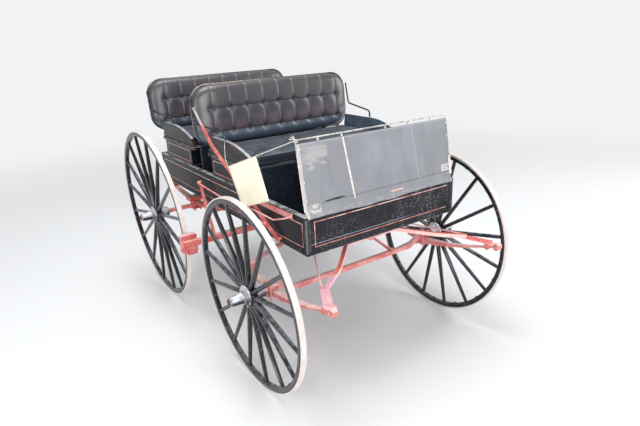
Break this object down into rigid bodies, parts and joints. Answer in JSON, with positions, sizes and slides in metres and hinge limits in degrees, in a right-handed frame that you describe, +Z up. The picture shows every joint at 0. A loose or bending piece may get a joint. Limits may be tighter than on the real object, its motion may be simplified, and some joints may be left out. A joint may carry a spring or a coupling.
{
  "type": "two-seat spring wagon",
  "caption": "Open four-wheeled spring wagon with a shallow box body, tufted seats, a dash, a steering front gear on springs and a hand-lever brake on the rear wheels.",
  "frame": {"origin": "on the ground under the middle of the wagon's length and width", "axes": "+Z up, the front faces -Y, +X is the wagon's left side"},
  "size_m": [1.5744, 2.5026, 1.4758],
  "materials": {
    "tyre_steel": "worn",
    "wheel_wood": "satin paint",
    "hub_metal": "worn",
    "body_wood": "satin paint",
    "dash_cloth": "matt",
    "rail_iron": "worn",
    "seat_leather": "satin",
    "seat_wood": "worn",
    "iron_black": "satin",
    "gear_red": "faded",
    "shoe_wood": "worn"
  },
  "bodies": {
    "carriage": {"floor": "body_wood", "side_panel_right": "body_wood", "side_panel_left": "body_wood", "front_panel": "body_wood", "tail_panel": "body_wood", "dash_panel": "dash_cloth", "dash_rail": "rail_iron", "front_seat_riser": "body_wood", "front_seat_pan": "body_wood", "front_seat_sides": "seat_wood", "front_seat_cushion": "seat_leather", "front_seat_back": "seat_leather", "front_seat_fall": "seat_leather", "front_seat_irons": "iron_black", "rear_seat_riser": "body_wood", "rear_seat_pan": "body_wood", "rear_seat_sides": "seat_wood", "rear_seat_cushion": "seat_leather", "rear_seat_back": "seat_leather", "rear_seat_fall": "seat_leather", "rear_seat_irons": "iron_black", "rear_axle": "gear_red", "rear_side_springs": "gear_red", "rear_cross_spring": "gear_red", "rear_shackles": "gear_red", "rear_clips": "gear_red", "body_irons": "gear_red", "upper_fifth_wheel": "gear_red", "king_bolt": "gear_red", "brake_lever": "gear_red", "brake_ratchet": "gear_red", "brake_rod": "gear_red", "brake_rocker": "gear_red", "rocker_brackets": "gear_red", "brake_shoes": "shoe_wood"},
    "front_gear": {"front_axle": "gear_red", "front_side_springs": "gear_red", "front_cross_spring": "gear_red", "front_shackles": "gear_red", "front_clips": "gear_red", "hound_frame": "gear_red", "hound_ends": "gear_red", "hound_stays": "gear_red", "lower_fifth_wheel": "gear_red"},
    "front_right_wheel": {"front_right_tyre": "tyre_steel", "front_right_spokes": "wheel_wood", "front_right_hub": "hub_metal"},
    "front_left_wheel": {"front_left_tyre": "tyre_steel", "front_left_spokes": "wheel_wood", "front_left_hub": "hub_metal"},
    "rear_right_wheel": {"rear_right_tyre": "tyre_steel", "rear_right_spokes": "wheel_wood", "rear_right_hub": "hub_metal"},
    "rear_left_wheel": {"rear_left_tyre": "tyre_steel", "rear_left_spokes": "wheel_wood", "rear_left_hub": "hub_metal"}
  },
  "joints": [
    {"name": "steering", "type": "hinge", "parent": "carriage", "child": "front_gear", "pos_m": [0, -0.691, 0.7], "axis": [0, 0, 1], "range_deg": [-14, 14]},
    {"name": "front_right_turn", "type": "hinge", "parent": "front_gear", "child": "front_right_wheel", "pos_m": [-0.68304, -0.691, 0.50748], "axis": [-0.999, 0, -0.0454], "continuous": true},
    {"name": "front_left_turn", "type": "hinge", "parent": "front_gear", "child": "front_left_wheel", "pos_m": [0.68304, -0.691, 0.50748], "axis": [0.999, 0, -0.0454], "continuous": true},
    {"name": "rear_right_turn", "type": "hinge", "parent": "carriage", "child": "rear_right_wheel", "pos_m": [-0.6864, 0.669, 0.5814], "axis": [-0.999, 0, -0.0454], "continuous": true},
    {"name": "rear_left_turn", "type": "hinge", "parent": "carriage", "child": "rear_left_wheel", "pos_m": [0.6864, 0.669, 0.5814], "axis": [0.999, 0, -0.0454], "continuous": true}
  ]
}
